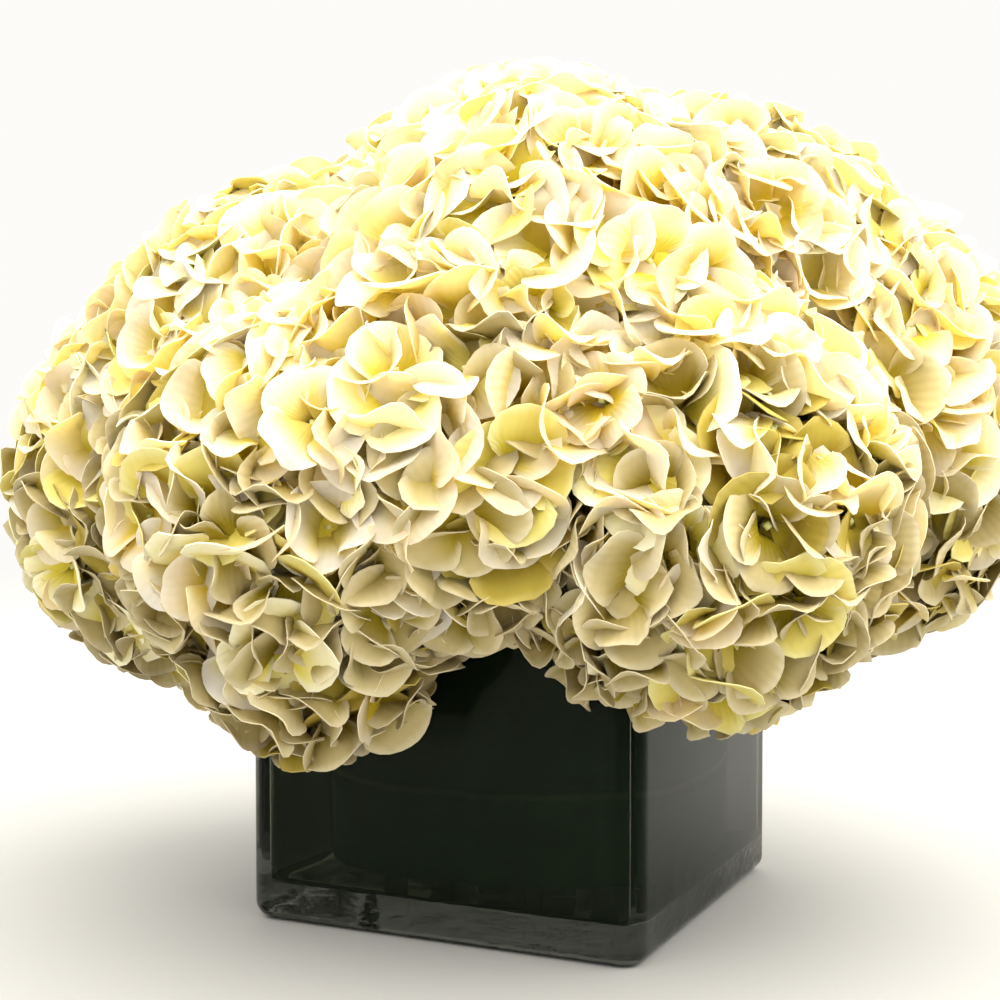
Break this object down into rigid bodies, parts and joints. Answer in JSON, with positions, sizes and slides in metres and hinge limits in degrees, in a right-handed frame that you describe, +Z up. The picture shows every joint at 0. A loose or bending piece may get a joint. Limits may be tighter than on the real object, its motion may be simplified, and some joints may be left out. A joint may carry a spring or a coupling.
{
  "type": "cut hydrangea arrangement in a square glass vase",
  "caption": "Low dome of cream mophead hydrangea heads, cut and packed into a square clear glass vase lined with a rolled dark green leaf.",
  "frame": {"origin": "centre of the vase's flat underside", "axes": "+Z up out of the vase; -Y is the vase's front face; +X to the right of it"},
  "size_m": [0.3391, 0.3192, 0.2696],
  "materials": {
    "vase_glass": "clear, polished, with faint vertical streaks",
    "leaf_green": "waxy dark green leaf",
    "stem_green": "smooth green stem",
    "petal_cream": "matt cream petals"
  },
  "bodies": {
    "root": {"vase": "vase_glass", "leaf_roll": "leaf_green", "stem_front_left": "stem_green", "stem_front_middle": "stem_green", "stem_front_right": "stem_green", "stem_right": "stem_green", "stem_back_right": "stem_green", "stem_back_left": "stem_green", "stem_left": "stem_green", "stem_upper_left": "stem_green", "stem_upper_front": "stem_green", "stem_upper_right": "stem_green", "stem_upper_back_right": "stem_green", "stem_upper_back_left": "stem_green", "stem_top": "stem_green", "bloom_front_left": "petal_cream", "bloom_front_middle": "petal_cream", "bloom_front_right": "petal_cream", "bloom_right": "petal_cream", "bloom_back_right": "petal_cream", "bloom_back_left": "petal_cream", "bloom_left": "petal_cream", "bloom_upper_left": "petal_cream", "bloom_upper_front": "petal_cream", "bloom_upper_right": "petal_cream", "bloom_upper_back_right": "petal_cream", "bloom_upper_back_left": "petal_cream", "bloom_top": "petal_cream"}
  },
  "joints": []
}
